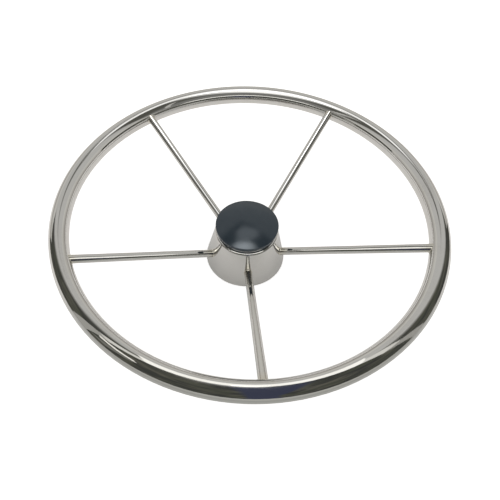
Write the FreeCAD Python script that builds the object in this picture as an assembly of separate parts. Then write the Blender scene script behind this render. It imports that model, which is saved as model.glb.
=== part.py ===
import FreeCAD, Part
import math
import os

os.makedirs("parts", exist_ok=True)

# A dished five-spoke boat steering wheel: a bent tube rim, round bar spokes, a conical hub and a moulded cap.
# The origin is the centre of the hub's back face, on which the wheel stands.
# +Z runs along the shaft towards the driver, and one spoke points along -Y.
# Lengths are in millimetres and angles in degrees.

# Rim
wheel_diameter = 394.0
rim_tube_diameter = 19.0
rim_tube_wall = 1.5
rim_height = 76.0

# Spokes
spoke_azimuths = {
    "spoke_front": -90.0,
    "spoke_right": -18.0,
    "spoke_back_right": 54.0,
    "spoke_back_left": 126.0,
    "spoke_left": 198.0,
}
spoke_diameter = 8.4
dish_angle = 22.0
weld_fillet = 0.8
weld_tolerance = 0.001

# Hub shell, a truncated cone of sheet with its top edge rolled in
shell_height = 45.0
shell_base_radius = 45.0
shell_top_radius = 33.75
shell_wall = 2.0
shell_lip_rounding = 3.0
shell_foot_chamfer = 0.6
mouth_radius = 29.5

# Back plate and boss
plate_thickness = 4.0
boss_radius = 19.0
boss_length = 32.0
boss_front_chamfer = 2.0
taper_large_diameter = 19.05
taper_per_length = 1.0 / 12.0
bore_edge_chamfer = 0.6
keyway_width = 4.76
keyway_depth = 2.4

# Cap, whose skirt widens upwards from its foot on the lip
cap_foot_radius = 31.4
cap_radius = 33.5
cap_flare_height = 5.4
cap_side_height = 7.8
cap_edge_rounding = 0.5
cap_dome_rise = 4.3
cap_wall = 2.2
finger_count = 6
finger_wall = 1.6
finger_width_angle = 20.0
finger_clearance = 0.2
finger_hook = 0.7
finger_hook_gap = 0.2
finger_hook_height = 2.2

# Worked out from the sizes above
rim_radius = (wheel_diameter - rim_tube_diameter) / 2.0
rim_tube_radius = rim_tube_diameter / 2.0
spoke_radius = spoke_diameter / 2.0
cone_angle = math.atan((shell_base_radius - shell_top_radius) / shell_height)
shell_wall_across = shell_wall / math.cos(cone_angle)

up = FreeCAD.Vector(0, 0, 1)
centre = FreeCAD.Vector(0, 0, 0)


def cone_radius(z):
    """Radius of the shell's outer cone at height z."""
    return shell_base_radius - z * math.tan(cone_angle)


def turned(outline, angle=360.0):
    """Solid made by turning a closed outline of edges about the shaft's axis."""
    face = Part.Face(Part.Wire(Part.__sortEdges__(outline)))
    return face.revolve(centre, up, angle)


def line(start, end):
    """Straight edge between two points given as radius and height."""
    first = FreeCAD.Vector(start[0], 0, start[1])
    last = FreeCAD.Vector(end[0], 0, end[1])
    return Part.makeLine(first, last)


def arc(start, middle, end):
    """Round edge through three points given as radius and height."""
    points = [FreeCAD.Vector(radius, 0, height) for radius, height in (start, middle, end)]
    return Part.Arc(*points).toShape()


def rim_ring(tube_radius):
    """Closed ring of round section at the rim's height."""
    return Part.makeTorus(rim_radius, tube_radius, FreeCAD.Vector(0, 0, rim_height))


def make_rim():
    """The rim is one tube, bent to a ring and closed, so it is hollow all round."""
    return rim_ring(rim_tube_radius).cut(rim_ring(rim_tube_radius - rim_tube_wall))


def weld_edges(shape, start, direction):
    """Edges where the spoke's round side meets the rim or the cone."""
    found = []
    for edge in shape.Edges:
        if isinstance(edge.Curve, Part.Line):
            continue
        points = edge.discretize(9)
        offsets = [(point - start).cross(direction).Length for point in points]
        if max(abs(offset - spoke_radius) for offset in offsets) < 0.01:
            found.append(edge)
    return found


def make_spoke():
    """A straight bar from the cone to the rim, along -X, where the ring and the cone have no seam.

    Its axis meets the rim where the tube comes closest to the shaft. Each end is cut to the surface
    that it meets, and flares into it with the round fillet of a polished weld.
    """
    slope = math.radians(dish_angle)
    direction = FreeCAD.Vector(-math.cos(slope), 0, math.sin(slope))
    rim_inside = rim_radius - rim_tube_radius
    meeting_point = FreeCAD.Vector(-rim_inside, 0, rim_height)
    length_to_rim = (rim_inside - mouth_radius) / math.cos(slope)
    start = meeting_point - direction * length_to_rim
    bar = Part.makeCylinder(spoke_radius, length_to_rim + rim_tube_radius, start, direction)
    rim_solid = rim_ring(rim_tube_radius)
    cone_solid = Part.makeCone(shell_base_radius, shell_top_radius, shell_height)
    welded = cone_solid.fuse([bar, rim_solid])
    welded = welded.makeFillet(weld_fillet, weld_edges(welded, start, direction))
    return welded.cut([cone_solid, rim_solid], weld_tolerance).Solids[0]


def round_edges(shape):
    """The round edges of a shape, from the lowest to the highest."""
    circles = [edge for edge in shape.Edges if isinstance(edge.Curve, Part.Circle)]
    return sorted(circles, key=lambda edge: edge.CenterOfMass.z)


def make_hub_shell():
    """The conical shell: its top edge is rounded and turned in, which leaves the mouth for the cap."""
    shell = Part.makeCone(shell_base_radius, shell_top_radius, shell_height)
    shell = shell.makeFillet(shell_lip_rounding, round_edges(shell)[-1:])
    shell = shell.makeChamfer(shell_foot_chamfer, round_edges(shell)[:1])
    inner_height = shell_height - shell_wall
    inner_base = cone_radius(0) - shell_wall_across
    inner_top = cone_radius(inner_height) - shell_wall_across
    hollow = Part.makeCone(inner_base, inner_top, inner_height)
    mouth = Part.makeCylinder(mouth_radius, shell_height)
    return shell.cut([hollow, mouth])


def make_back_plate():
    """The plate fits inside the shell's foot, flush with the back face, and its hole takes the boss."""
    outer_back = cone_radius(0) - shell_wall_across
    outer_front = cone_radius(plate_thickness) - shell_wall_across
    plate = Part.makeCone(outer_back, outer_front, plate_thickness)
    return plate.cut(Part.makeCylinder(boss_radius, plate_thickness))


def make_boss():
    """The turned boss: its bore narrows towards the driver at one in twelve, with a keyway along +Y."""
    boss = Part.makeCylinder(boss_radius, boss_length)
    front_edge = [edge for edge in boss.Edges if edge.CenterOfMass.z > boss_length - 0.01]
    boss = boss.makeChamfer(boss_front_chamfer, front_edge)
    back_radius = taper_large_diameter / 2.0
    front_radius = back_radius - boss_length * taper_per_length / 2.0
    bore = Part.makeCone(back_radius, front_radius, boss_length)
    wide_end = back_radius + bore_edge_chamfer
    narrow_end = back_radius - bore_edge_chamfer
    countersink = Part.makeCone(wide_end, narrow_end, 2.0 * bore_edge_chamfer)
    keyway_height = boss_length * 2.0
    keyway = Part.makeBox(keyway_width, back_radius + keyway_depth, keyway_height)
    keyway.translate(FreeCAD.Vector(-keyway_width / 2.0, 0, -boss_length / 2.0))
    half_taper = math.degrees(math.atan(taper_per_length / 2.0))
    hinge = FreeCAD.Vector(0, back_radius + keyway_depth, 0)
    keyway.rotate(hinge, FreeCAD.Vector(1, 0, 0), half_taper)
    return boss.cut([bore, countersink, keyway])


def dome_point(apex_height, sphere_radius, radius):
    """Point at a radius on a dome, a part of a sphere that is highest on the shaft's axis."""
    return (radius, apex_height - sphere_radius + math.sqrt(sphere_radius ** 2 - radius ** 2))


def make_cap():
    """The moulded cap: a dome with a rounded edge, a skirt that stands on the lip, and snap fingers.

    The wall is even: the pocket follows the skirt's flare and the dome at one wall's distance.
    """
    seat = shell_height
    flare_top = seat + cap_flare_height
    dome_radius = cap_radius - cap_edge_rounding
    shoulder = seat + cap_side_height
    dome_rim = shoulder + cap_edge_rounding
    apex = dome_rim + cap_dome_rise
    sphere = (dome_radius ** 2 + cap_dome_rise ** 2) / (2.0 * cap_dome_rise)
    diagonal = cap_edge_rounding * math.sqrt(0.5)
    outside = turned([
        line((0, seat), (cap_foot_radius, seat)),
        line((cap_foot_radius, seat), (cap_radius, flare_top)),
        line((cap_radius, flare_top), (cap_radius, shoulder)),
        arc((cap_radius, shoulder), (dome_radius + diagonal, shoulder + diagonal), (dome_radius, dome_rim)),
        arc((dome_radius, dome_rim), dome_point(apex, sphere, dome_radius / 2.0), (0, apex)),
        line((0, apex), (0, seat)),
    ])
    inner_foot = cap_foot_radius - cap_wall
    inner_side = cap_radius - cap_wall
    inner_apex = apex - cap_wall
    inner_sphere = sphere - cap_wall
    corner = dome_point(inner_apex, inner_sphere, inner_side)
    pocket = turned([
        line((0, seat), (inner_foot, seat)),
        line((inner_foot, seat), (inner_side, flare_top)),
        line((inner_side, flare_top), corner),
        arc(corner, dome_point(inner_apex, inner_sphere, inner_side / 2.0), (0, inner_apex)),
        line((0, inner_apex), (0, seat)),
    ])
    outer = mouth_radius - finger_clearance
    inner = outer - finger_wall
    root = dome_point(inner_apex, inner_sphere, outer)[1] + cap_wall / 2.0
    hook_top = seat - shell_wall - finger_hook_gap
    hook_bottom = hook_top - finger_hook_height
    finger = turned([
        line((inner, hook_bottom), (outer, hook_bottom)),
        line((outer, hook_bottom), (outer + finger_hook, hook_top)),
        line((outer + finger_hook, hook_top), (outer, hook_top)),
        line((outer, hook_top), (outer, root)),
        line((outer, root), (inner, root)),
        line((inner, root), (inner, hook_bottom)),
    ], finger_width_angle)
    fingers = []
    for place in range(finger_count):
        copy = finger.copy()
        copy.rotate(centre, up, place * 360.0 / finger_count - finger_width_angle / 2.0)
        fingers.append(copy)
    return outside.cut(pocket).fuse(fingers).removeSplitter()


def save(name, shape):
    """Write one piece to its own file."""
    shape.exportStep("parts/" + name + ".step")
    box = shape.BoundBox
    heights = (round(box.ZMin, 2), round(box.ZMax, 2))
    print(name, shape.isValid(), len(shape.Solids), round(shape.Volume), heights)


save("rim_tube", make_rim())
spoke = make_spoke()
for name, azimuth in spoke_azimuths.items():
    turned_spoke = spoke.copy()
    turned_spoke.rotate(centre, up, azimuth - 180.0)
    save(name, turned_spoke)
save("hub_shell", make_hub_shell())
save("hub_back_plate", make_back_plate())
save("hub_boss", make_boss())
save("hub_cap", make_cap())
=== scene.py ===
import math

import bpy
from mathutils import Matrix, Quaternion, Vector


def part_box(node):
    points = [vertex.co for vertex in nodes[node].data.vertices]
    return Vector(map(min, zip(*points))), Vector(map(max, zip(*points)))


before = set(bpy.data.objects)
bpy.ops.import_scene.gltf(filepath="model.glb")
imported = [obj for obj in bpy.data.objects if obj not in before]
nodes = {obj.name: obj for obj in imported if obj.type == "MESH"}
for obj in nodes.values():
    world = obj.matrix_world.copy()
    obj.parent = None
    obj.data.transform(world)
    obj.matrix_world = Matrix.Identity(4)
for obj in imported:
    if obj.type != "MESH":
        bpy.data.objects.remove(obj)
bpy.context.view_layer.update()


# Rim
# A bright stainless tube, bent to a ring, butt welded and mirror polished all over.
# The polishing belt runs along the tube, so its fine lines follow the ring.

rim_low, rim_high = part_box("rim_tube")
tube_radius = (rim_high[2] - rim_low[2]) / 2
ring_radius = rim_high[0] - tube_radius
ring_height = (rim_high[2] + rim_low[2]) / 2
rim_line_stretch = 0.012

steel_colour = (0.62, 0.612, 0.592, 1)
steel_smear_colour = (0.585, 0.572, 0.545, 1)
steel_wave_depth = 0.00004
steel_line_depth = 0.0000006


def feed(tree, socket, source):
    """Set a socket to a plain value, or link it to another node's output."""
    if isinstance(source, bpy.types.NodeSocket):
        tree.links.new(source, socket)
    else:
        socket.default_value = source


def shader_node(tree, kind, sockets=None, **options):
    """A new shader node with its options set and its sockets fed, by name or by number."""
    made = tree.nodes.new(kind)
    for name, value in options.items():
        setattr(made, name, value)
    for name, source in (sockets or {}).items():
        feed(tree, made.inputs[name], source)
    return made


def math_node(tree, operation, first, second=0.0):
    """The result of one sum on one or two numbers."""
    return shader_node(tree, "ShaderNodeMath", {0: first, 1: second}, operation=operation).outputs[0]


def vector_of(tree, x, y, z):
    """A vector put together from three numbers."""
    return shader_node(tree, "ShaderNodeCombineXYZ", {"X": x, "Y": y, "Z": z}).outputs[0]


def parts_of(tree, vector):
    """The three numbers x, y and z of a vector."""
    return shader_node(tree, "ShaderNodeSeparateXYZ", {"Vector": vector}).outputs


def flat_length(tree, x, y):
    """The length of a level vector, so the distance from the shaft's axis of a point on the wheel."""
    length = shader_node(tree, "ShaderNodeVectorMath", {0: vector_of(tree, x, y, 0.0)}, operation="LENGTH")
    return length.outputs["Value"]


def noise(tree, vector, scale, detail, turn=None, distortion=0.0):
    """Cloudy noise from 0 to 1, with turn as a fourth coordinate where three aren't enough."""
    sockets = {"Vector": vector, "Scale": scale, "Detail": detail, "Distortion": distortion}
    dimensions = "3D"
    if turn is not None:
        sockets["W"] = turn
        dimensions = "4D"
    return shader_node(tree, "ShaderNodeTexNoise", sockets, noise_dimensions=dimensions).outputs["Fac"]


def spread(tree, value, low, high, new_low, new_high):
    """Stretch a number from one range to another, held within the new range."""
    sockets = {"Value": value, "From Min": low, "From Max": high, "To Min": new_low, "To Max": new_high}
    return shader_node(tree, "ShaderNodeMapRange", sockets).outputs[0]


def blend_colour(tree, amount, first, second):
    """A colour between two others."""
    mixer = shader_node(tree, "ShaderNodeMix", {0: amount, 6: first, 7: second}, data_type="RGBA")
    return mixer.outputs[2]


def bumped(tree, height, depth, under=None):
    """Surface relief: depth in metres for a height of one, over any relief already made."""
    sockets = {"Height": height, "Distance": depth}
    if under is not None:
        sockets["Normal"] = under
    return shader_node(tree, "ShaderNodeBump", sockets).outputs[0]


def new_finish(name):
    """A material with its tree, its shader and the piece's own coordinates."""
    material = bpy.data.materials.new(name)
    material.use_nodes = True
    tree = material.node_tree
    place = shader_node(tree, "ShaderNodeTexCoord").outputs["Object"]
    return material, tree, tree.nodes["Principled BSDF"], place


def steel_finish(tree, shader, place, lines, mirror, dull, heated=None, heated_colour=None):
    """Polished stainless: lines and smears dull the mirror, slow waves bend it, and heat may tint it."""
    smears = noise(tree, place, scale=26.0, detail=4.0, distortion=0.6)
    specks = noise(tree, place, scale=420.0, detail=3.0)
    waves = noise(tree, place, scale=17.0, detail=1.0)
    worn = spread(tree, smears, 0.42, 0.72, 0.0, 1.0)
    hazy = math_node(tree, "MULTIPLY", worn, spread(tree, specks, 0.35, 0.65, 0.35, 1.0))
    brushed = math_node(tree, "ADD", hazy, math_node(tree, "MULTIPLY", lines, 0.35))
    colour = blend_colour(tree, hazy, steel_colour, steel_smear_colour)
    if heated is not None:
        colour = blend_colour(tree, heated, colour, heated_colour)
    feed(tree, shader.inputs["Base Color"], colour)
    feed(tree, shader.inputs["Roughness"], spread(tree, brushed, 0.0, 1.3, mirror, dull))
    shader.inputs["Metallic"].default_value = 1.0
    relief = bumped(tree, waves, steel_wave_depth)
    relief = bumped(tree, lines, steel_line_depth, under=relief)
    feed(tree, shader.inputs["Normal"], relief)


def dress(name, material):
    """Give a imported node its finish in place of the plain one."""
    nodes[name].data.materials.clear()
    nodes[name].data.materials.append(material)


def polished_rim():
    """Lines that run along the tube: noise that is fine across its section and long round the ring."""
    material, tree, shader, place = new_finish("polished_rim_steel")
    x, y, z = parts_of(tree, place)
    across = math_node(tree, "SUBTRACT", flat_length(tree, x, y), ring_radius)
    above = math_node(tree, "SUBTRACT", z, ring_height)
    section = vector_of(tree, across, above, math_node(tree, "MULTIPLY", x, rim_line_stretch))
    turn = math_node(tree, "MULTIPLY", y, rim_line_stretch)
    lines = noise(tree, section, scale=2400.0, detail=3.0, turn=turn)
    steel_finish(tree, shader, place, lines, mirror=0.03, dull=0.13)
    return material


dress("rim_tube", polished_rim())


# Spokes
# Five solid stainless bars, each coped and welded to the rim and the hub, then polished with them.
# The lines run along each bar, and the polished welds keep a straw tint from their heat.

spoke_names = ["spoke_front", "spoke_right", "spoke_back_right", "spoke_back_left", "spoke_left"]
spoke_rise = math.radians(22.0)
spoke_turn = math.radians(72.0)
front_azimuth = math.radians(-90.0)
spoke_line_stretch = 0.015
spoke_pattern_step = 0.01
hub_weld = 0.042
rim_weld = ring_radius - tube_radius
weld_reach = 0.007
weld_tint = 0.8
weld_colour = (0.60, 0.57, 0.50, 1)


def polished_spokes():
    """Lines along each bar: every spoke's azimuth is folded onto one, and each has its own step of noise."""
    material, tree, shader, place = new_finish("polished_spoke_steel")
    x, y, z = parts_of(tree, place)
    from_axis = flat_length(tree, x, y)
    azimuth = math_node(tree, "SUBTRACT", math_node(tree, "ARCTAN2", y, x), front_azimuth)
    counted = math_node(tree, "DIVIDE", azimuth, spoke_turn)
    which = math_node(tree, "ROUND", counted)
    folded = math_node(tree, "MULTIPLY", math_node(tree, "SUBTRACT", counted, which), spoke_turn)
    outwards = math_node(tree, "MULTIPLY", from_axis, math_node(tree, "COSINE", folded))
    sideways = math_node(tree, "MULTIPLY", from_axis, math_node(tree, "SINE", folded))
    along = math_node(tree, "ADD", math_node(tree, "MULTIPLY", outwards, math.cos(spoke_rise)),
                      math_node(tree, "MULTIPLY", z, math.sin(spoke_rise)))
    over = math_node(tree, "SUBTRACT", math_node(tree, "MULTIPLY", z, math.cos(spoke_rise)),
                     math_node(tree, "MULTIPLY", outwards, math.sin(spoke_rise)))
    section = vector_of(tree, sideways, over, math_node(tree, "MULTIPLY", along, spoke_line_stretch))
    turn = math_node(tree, "MULTIPLY", which, spoke_pattern_step)
    lines = noise(tree, section, scale=2600.0, detail=3.0, turn=turn)
    at_hub = spread(tree, from_axis, hub_weld, hub_weld + weld_reach, weld_tint, 0.0)
    at_rim = spread(tree, from_axis, rim_weld - weld_reach, rim_weld, 0.0, weld_tint)
    heated = math_node(tree, "MAXIMUM", at_hub, at_rim)
    steel_finish(tree, shader, place, lines, mirror=0.035, dull=0.14, heated=heated,
                 heated_colour=weld_colour)
    return material


spoke_steel = polished_spokes()
for spoke in spoke_names:
    dress(spoke, spoke_steel)


# Hub shell
# A cone of stainless sheet, spun to shape and polished on the lathe, its top edge rolled in.
# The lines run round the shaft, so the pattern is fine along the height and long round the cone.

shell_line_stretch = 0.01


def spun_cone():
    """Lines that run round the cone: noise of the height, and of x and y stretched."""
    material, tree, shader, place = new_finish("spun_hub_steel")
    x, y, z = parts_of(tree, place)
    round_way = vector_of(tree, z, math_node(tree, "MULTIPLY", x, shell_line_stretch),
                          math_node(tree, "MULTIPLY", y, shell_line_stretch))
    lines = noise(tree, round_way, scale=3000.0, detail=3.0)
    steel_finish(tree, shader, place, lines, mirror=0.06, dull=0.18)
    return material


dress("hub_shell", spun_cone())


# Hub cap
# A black moulded plastic cap, pushed into the shell's mouth and held by its snap fingers.
# Its skin has a fine moulded grain, faint sink, and the light rubbing of hands and cloths.

cap_colour = (0.020, 0.030, 0.040, 1)
cap_rubbed_colour = (0.030, 0.040, 0.051, 1)
cap_sheen_colour = (0.88, 0.95, 1.0, 1)
cap_sink_depth = 0.00005
cap_grain_depth = 0.000002
hair_slant = 0.7
hair_stretch = 0.03


def moulded_cap():
    """Grain and slow sink in the relief, rubbed patches in colour and gloss, and hairs in colour."""
    material, tree, shader, place = new_finish("moulded_black_plastic")
    rubbed = noise(tree, place, scale=60.0, detail=4.0, distortion=0.4)
    grain = noise(tree, place, scale=1900.0, detail=2.0)
    sink = noise(tree, place, scale=30.0, detail=1.0)
    hair_sockets = {"Vector": place, "Rotation": (0, 0, hair_slant), "Scale": (1, hair_stretch, 1)}
    hair_place = shader_node(tree, "ShaderNodeMapping", hair_sockets).outputs[0]
    hairs = noise(tree, hair_place, scale=900.0, detail=2.0)
    scratched = spread(tree, hairs, 0.68, 0.74, 0.0, 0.6)
    patches = spread(tree, rubbed, 0.45, 0.75, 0.0, 0.5)
    marks = math_node(tree, "MAXIMUM", patches, scratched)
    feed(tree, shader.inputs["Base Color"], blend_colour(tree, marks, cap_colour, cap_rubbed_colour))
    feed(tree, shader.inputs["Roughness"], spread(tree, rubbed, 0.3, 0.75, 0.11, 0.18))
    shader.inputs["Specular IOR Level"].default_value = 0.55
    shader.inputs["Specular Tint"].default_value = cap_sheen_colour
    relief = bumped(tree, sink, cap_sink_depth)
    relief = bumped(tree, grain, cap_grain_depth, under=relief)
    feed(tree, shader.inputs["Normal"], relief)
    return material


dress("hub_cap", moulded_cap())


# Back plate and boss
# Turned steel: a flat disc welded into the shell's foot, and the boss with its tapered bore and keyway.
# They stay as the lathe left them, with the tool's fine rings on every face.

turned_colour = (0.50, 0.495, 0.48, 1)
turned_stain_colour = (0.40, 0.385, 0.355, 1)
turned_ring_depth = 0.000006


def turned_steel():
    """The tool's rings: noise in radius and height alone, which is the same all the way round."""
    material, tree, shader, place = new_finish("turned_hub_steel")
    x, y, z = parts_of(tree, place)
    rings = noise(tree, vector_of(tree, flat_length(tree, x, y), z, 0.0), scale=2200.0, detail=3.0)
    stains = spread(tree, noise(tree, place, scale=70.0, detail=4.0), 0.4, 0.75, 0.0, 1.0)
    feed(tree, shader.inputs["Base Color"], blend_colour(tree, stains, turned_colour, turned_stain_colour))
    feed(tree, shader.inputs["Roughness"], spread(tree, rings, 0.2, 0.8, 0.26, 0.42))
    shader.inputs["Metallic"].default_value = 1.0
    feed(tree, shader.inputs["Normal"], bumped(tree, rings, turned_ring_depth))
    return material


turned = turned_steel()
dress("hub_back_plate", turned)
dress("hub_boss", turned)


# Floor
# A plain pale sheet under the wheel, greyer in front of it with painted shade. The camera sees all of it as
# white, and a painted glow that only the steel sees makes it a little brighter behind the wheel's front,
# away from the hub, where painted shade keeps that glow off.

floor_half = 6.0
floor_colour = (0.9, 0.9, 0.9, 1)
floor_front_shade_colour = (0.60, 0.61, 0.59, 1)
floor_front_shade_fades = (-0.34, -0.04)
floor_glow_seen = 0.56
floor_glow_in_steel = 0.22
floor_glow_colour = (1.0, 0.94, 0.89, 1)
floor_glow_grows = (-0.16, 0.04)
floor_hub_shade = (0.05, 0.10)
white = (1, 1, 1, 1)


def flat_sheet(name, corners):
    """A flat four-cornered sheet."""
    mesh = bpy.data.meshes.new(name)
    mesh.from_pydata(corners, [], [(0, 1, 2, 3)])
    sheet = bpy.data.objects.new(name, mesh)
    bpy.context.scene.collection.objects.link(sheet)
    return sheet


floor = flat_sheet("floor", [(-floor_half, -floor_half, 0), (floor_half, -floor_half, 0),
                             (floor_half, floor_half, 0), (-floor_half, floor_half, 0)])
floor_paint, tree, shader, place = new_finish("white_floor")
x, y, _ = parts_of(tree, place)
# Painted shade: the sheet's colour greys from the wheel's middle towards the front.
out_of_front_shade = spread(tree, y, *floor_front_shade_fades, 0.0, 1.0)
feed(tree, shader.inputs["Base Color"], blend_colour(tree, out_of_front_shade, floor_front_shade_colour, floor_colour))
shader.inputs["Roughness"].default_value = 0.9
shader.inputs["Specular IOR Level"].default_value = 0.0
ray = shader_node(tree, "ShaderNodeLightPath").outputs
# Painted reflection: the floor's glow is white to the camera and warm in the steel.
glow_colour = blend_colour(tree, ray["Is Camera Ray"], floor_glow_colour, white)
feed(tree, shader.inputs["Emission Color"], glow_colour)
seen = math_node(tree, "MULTIPLY", ray["Is Camera Ray"], floor_glow_seen)
# Painted reflection: a glow that only the steel sees, growing from the wheel's front backwards.
mirrored = spread(tree, y, *floor_glow_grows, 0.0, floor_glow_in_steel)
mirrored = math_node(tree, "MULTIPLY", ray["Is Glossy Ray"], mirrored)
# Painted shade: that glow fades out round the hub's foot.
off_hub = spread(tree, flat_length(tree, x, y), *floor_hub_shade, 0.0, 1.0)
mirrored = math_node(tree, "MULTIPLY", mirrored, off_hub)
feed(tree, shader.inputs["Emission Strength"], math_node(tree, "ADD", seen, mirrored))
floor.data.materials.append(floor_paint)


# Studio
# White light comes evenly from the world. All else here is glowing cards that only shiny surfaces see,
# painted reflections that draw the bands in the steel: a dim room round the front, lamps and a ceiling, and
# pale walls.

room_black = (0.062, 0.064, 0.060, 1)
room_olive = (0.100, 0.105, 0.082, 1)
room_pale_olive = (0.145, 0.142, 0.118, 1)
room_navy = (0.062, 0.069, 0.112, 1)
wall_shaded_foot_colour = (0.52, 0.50, 0.47, 1)
wall_high_colour = (0.82, 0.81, 0.77, 1)
ceiling_dark = (0.12, 0.12, 0.105, 1)
ceiling_grey = (0.26, 0.26, 0.25, 1)
ceiling_pale = (0.66, 0.655, 0.64, 1)
spill_near_colour = (1.5, 1.5, 1.47, 1)
spill_far_colour = (0.62, 0.61, 0.60, 1)


def card_paint(name):
    """A glowing paint with its tree, its glow and the card's own coordinates."""
    material, tree, shader, place = new_finish(name)
    tree.nodes.remove(shader)
    glow = shader_node(tree, "ShaderNodeEmission")
    feed(tree, tree.nodes["Material Output"].inputs["Surface"], glow.outputs[0])
    return material, tree, glow, place


def plain_paint(name, colour):
    """A glowing paint of one colour."""
    material, _, glow, _ = card_paint(name)
    glow.inputs["Color"].default_value = (*colour, 1)
    return material


def card(name, corners, paint):
    """A card that only mirror surfaces see."""
    sheet = flat_sheet(name, corners)
    sheet.data.materials.append(paint)
    sheet.visible_camera = False
    sheet.visible_diffuse = False
    sheet.visible_shadow = False


def level_card(name, corners, height, paint):
    """A card that lies level at a height, on corners given as x and y."""
    card(name, [(x, y, height) for x, y in corners], paint)


def oblong_card(name, reach, height, paint):
    """A level card that reaches from left to right and from near to far."""
    left, right, near, far = reach
    level_card(name, [(left, near), (right, near), (right, far), (left, far)], height, paint)


def upright_card(name, start, end, foot, top, paint):
    """A card that stands on the line between two points given as x and y."""
    card(name, [(*start, foot), (*end, foot), (*end, top), (*start, top)], paint)


def oval_reach(tree, x, y, oval):
    """How far out a point lies in an oval of (left, right, near, far): 0 at its middle, 1 on its edge."""
    left, right, near, far = oval
    off_x = math_node(tree, "DIVIDE", math_node(tree, "SUBTRACT", x, (left + right) / 2), (right - left) / 2)
    off_y = math_node(tree, "DIVIDE", math_node(tree, "SUBTRACT", y, (near + far) / 2), (far - near) / 2)
    return flat_length(tree, off_x, off_y)


def see_through(tree, glow, thick):
    """Let what is behind a glowing paint show where thick is less than one."""
    clear = shader_node(tree, "ShaderNodeBsdfTransparent")
    either = shader_node(tree, "ShaderNodeMixShader", {0: thick, 1: clear.outputs[0], 2: glow.outputs[0]})
    feed(tree, tree.nodes["Material Output"].inputs["Surface"], either.outputs[0])


def room_paint(name, hollow=None):
    """Dark things in an unlit room: olive blotches and a navy patch, open within the hollow if given."""
    material, tree, glow, place = card_paint(name)
    x, y, _ = parts_of(tree, place)
    blotches = spread(tree, noise(tree, place, scale=16.0, detail=3.0, distortion=0.8), 0.40, 0.62, 0.0, 1.0)
    tints = spread(tree, noise(tree, place, scale=9.0, detail=2.0), 0.42, 0.6, 0.0, 1.0)
    olive = blend_colour(tree, tints, room_olive, room_pale_olive)
    blotched = blend_colour(tree, blotches, room_black, olive)
    beside = math_node(tree, "ABSOLUTE", math_node(tree, "SUBTRACT", x, 0.02))
    navy = spread(tree, beside, 0.035, 0.05, 1.0, 0.0)
    feed(tree, glow.inputs["Color"], blend_colour(tree, navy, blotched, room_navy))
    if hollow:
        see_through(tree, glow, spread(tree, oval_reach(tree, x, y, hollow), 0.91, 1.03, 0.0, 1.0))
    return material


def wall_paint():
    """Pale walls with painted shade, darker near the floor and dim behind the camera, and a lit sheet's slow
    unevenness.
    """
    material, tree, glow, place = card_paint("pale_wall")
    _, y, z = parts_of(tree, place)
    uneven = spread(tree, noise(tree, place, scale=1.1, detail=2.0), 0.35, 0.65, -0.25, 0.25)
    # Painted shade: the walls darken towards the floor.
    pale = spread(tree, math_node(tree, "ADD", z, uneven), 0.2, 1.2, 0.0, 1.0)
    feed(tree, glow.inputs["Color"], blend_colour(tree, pale, wall_shaded_foot_colour, wall_high_colour))
    # Painted shade: the walls glow dimmer behind the camera.
    feed(tree, glow.inputs["Strength"], spread(tree, y, -1.9, -0.9, 0.36, 0.92))
    return material


def ceiling_paint():
    """Pale at the back and the sides, dark in a wedge round the soft box, and grey behind the camera."""
    material, tree, glow, place = card_paint("studio_ceiling")
    x, y, _ = parts_of(tree, place)
    beside = math_node(tree, "ABSOLUTE", math_node(tree, "SUBTRACT", x, 0.05))
    outside = spread(tree, math_node(tree, "ADD", beside, y), 3.2, 3.9, 0.0, 1.0)
    behind = spread(tree, y, -3.0, -1.2, 1.0, 0.0)
    unlit = blend_colour(tree, behind, ceiling_dark, ceiling_grey)
    feed(tree, glow.inputs["Color"], blend_colour(tree, outside, unlit, ceiling_pale))
    return material


def spill_paint():
    """The soft box's light on the ceiling behind it, which fades with distance."""
    material, tree, glow, place = card_paint("ceiling_spill")
    near = spread(tree, parts_of(tree, place)["Y"], 0.6, 2.9, 1.0, 0.0)
    feed(tree, glow.inputs["Color"], blend_colour(tree, near, spill_far_colour, spill_near_colour))
    return material


def soft_light(name, oval, height, core, strength):
    """A level light that fades out between the core and the edge of its oval."""
    material, tree, glow, place = card_paint(name)
    x, y, _ = parts_of(tree, place)
    glow.inputs["Strength"].default_value = strength
    see_through(tree, glow, spread(tree, oval_reach(tree, x, y, oval), core, 1.0, 1.0, 0.0))
    oblong_card(name, oval, height, material)


room_front = -0.42
room_back = 0.12
room_side = 0.46
room_foot = 0.085
room_top = 0.20
room_hollow = (-0.31, 0.35, -0.145, 0.611)
dim_room = room_paint("dim_room")
upright_card("room_ahead", (-room_side, room_front), (room_side, room_front), room_foot, room_top, dim_room)
for side_name, side in (("left", -room_side), ("right", room_side)):
    upright_card("room_" + side_name, (side, room_front), (side, room_back), room_foot, room_top, dim_room)
oblong_card("room_overhead", (-room_side, room_side, room_front, room_back), room_top,
            room_paint("dim_room_overhead", room_hollow))

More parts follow.
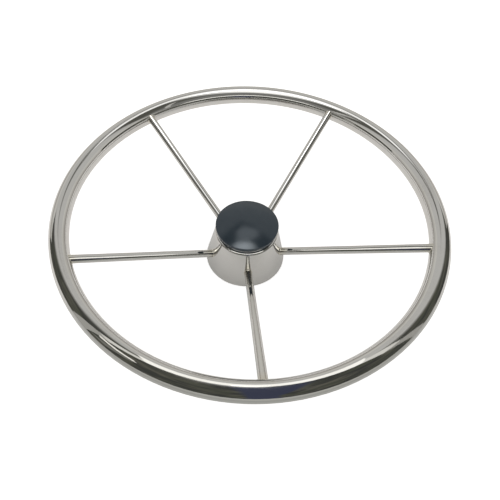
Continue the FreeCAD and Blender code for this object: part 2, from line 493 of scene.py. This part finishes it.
# Pale uprights, lamps and gaps of light lie just inside the dim room, and the paper's edge beyond it.
under_top = room_top - 0.002
under_poles = under_top - 0.001
inner_left = -room_side + 0.001
inner_right = room_side - 0.001
pole_foot = 0.07
pole = plain_paint("pale_pole", (0.48, 0.475, 0.45))
level_card("pole_left", [(-0.19, -0.105), (-0.20, -0.135), (inner_left, -0.195), (inner_left, -0.122)],
           under_top, pole)
level_card("pole_right", [(0.17, -0.158), (0.20, -0.138), (inner_right, -0.185), (inner_right, -0.245)],
           under_top, pole)
upright_card("pole_left_foot", (inner_left, -0.195), (inner_left, -0.122), pole_foot, under_top, pole)
upright_card("pole_right_foot", (inner_right, -0.245), (inner_right, -0.185), pole_foot, under_top, pole)
oblong_card("glint_ahead", (-0.018, 0.024, -0.126, -0.10), under_top,
            plain_paint("ceiling_light", (2.4, 2.4, 2.3)))
level_card("ceiling_gap", [(-0.115, -0.12), (0.12, -0.13), (0.105, -0.045), (-0.095, -0.04)], under_top,
           plain_paint("ceiling_gap", (1.5, 1.49, 1.44)))
gap_end = plain_paint("ceiling_gap_end", (0.95, 0.94, 0.90))
level_card("gap_end_left", [(-0.20, -0.135), (-0.113, -0.12), (-0.106, -0.085), (-0.19, -0.105)],
           under_top, gap_end)
level_card("gap_end_right", [(0.118, -0.13), (0.17, -0.158), (0.20, -0.138), (0.112, -0.085)],
           under_top, gap_end)
upright_card("paper_edge", (-0.9, -0.45), (0.9, -0.45), foot=0.0, top=0.09,
             paint=plain_paint("paper_edge", (0.60, 0.60, 0.57)))
level_card("shade_left", [(-0.165, -0.178), (-0.21, -0.22), (inner_left, -0.27), (inner_left, -0.195)],
           under_top, plain_paint("grey_shade", (0.25, 0.25, 0.23)))
level_card("glint_left", [(-0.225, -0.135), (-0.257, -0.155), (-0.185, -0.205), (-0.172, -0.180)],
           under_poles, plain_paint("small_lamp", (1.3, 1.28, 1.22)))

# Higher up are a pale sheet, the lamp, the soft box with its spill, two beams and the ceiling.
rig_height = 4.0
ceiling_half = 7.5
soft_light("pale_sheet", (-0.21, 0.41, 0.36, 0.80), height=1.26, core=0.65, strength=1.5)
soft_light("lamp", (-1.05, 0.95, 0.15, 1.15), height=rig_height - 0.1, core=0.30, strength=6.0)
soft_light("soft_box", (-1.7, 1.4, -2.4, 1.5), height=rig_height, core=0.25, strength=1.65)
level_card("spill_overhead", [(-0.75, 0.5), (0.55, 0.5), (0.35, 2.9), (-0.15, 2.9)], rig_height + 0.05,
           spill_paint())
beam = plain_paint("pale_beam", (0.66, 0.65, 0.63))
level_card("beam_left", [(-1.5, 0.75), (-1.9, 0.05), (-4.7, -3.4), (-5.3, -3.1)], rig_height, beam)
level_card("beam_right", [(1.6, -0.75), (1.9, -0.8), (4.95, -3.9), (4.6, -4.1)], rig_height, beam)
oblong_card("ceiling", (-ceiling_half, ceiling_half, -ceiling_half, ceiling_half), rig_height + 0.1,
            ceiling_paint())

wall_distance = 2.6
wall_height = 1.5
wall_sides = 24
pale_wall = wall_paint()


def wall_corner(number):
    """The x and y of a corner of the walls, which lie evenly on a circle."""
    angle = 2 * math.pi * number / wall_sides
    return wall_distance * math.cos(angle), wall_distance * math.sin(angle)


for number in range(wall_sides):
    upright_card("wall_%02d" % number, wall_corner(number), wall_corner(number + 1), foot=0.0,
                 top=wall_height, paint=pale_wall)

world = bpy.data.worlds.new("studio")
bpy.context.scene.world = world
world.use_nodes = True
tree = world.node_tree
light = tree.nodes["Background"]
light.inputs["Color"].default_value = (1, 0.99, 0.97, 1)
light.inputs["Strength"].default_value = 0.8
backdrop = shader_node(tree, "ShaderNodeBackground", {"Color": white, "Strength": 1.0})
ray = shader_node(tree, "ShaderNodeLightPath").outputs
either = shader_node(tree, "ShaderNodeMixShader",
                     {0: ray["Is Camera Ray"], 1: light.outputs[0], 2: backdrop.outputs[0]})
feed(tree, tree.nodes["World Output"].inputs["Surface"], either.outputs[0])


# Camera
# It looks down on the wheel from the front, as in the photograph.
# The lens shift puts the wheel where the photograph's frame has it.

camera_azimuth = math.radians(-2.29)
camera_elevation = math.radians(60.49)
camera_roll = math.radians(0.1)
camera_distance = 0.4396
aim = Vector((-0.02497, -0.06149, 0.0))

camera_data = bpy.data.cameras.new("camera")
camera = bpy.data.objects.new("camera", camera_data)
bpy.context.scene.collection.objects.link(camera)
bpy.context.scene.camera = camera
camera_data.sensor_width = 36.0
camera_data.lens = 28.8045
camera_data.shift_x = 0.04841
camera_data.shift_y = 0.10032
towards_camera = Vector((math.sin(camera_azimuth) * math.cos(camera_elevation),
                         -math.cos(camera_azimuth) * math.cos(camera_elevation), math.sin(camera_elevation)))
camera.location = aim + towards_camera * camera_distance
camera.rotation_mode = "QUATERNION"
camera.rotation_quaternion = towards_camera.to_track_quat("Z", "Y") @ Quaternion((0, 0, 1), camera_roll)

bpy.context.scene.view_settings.view_transform = "Standard"
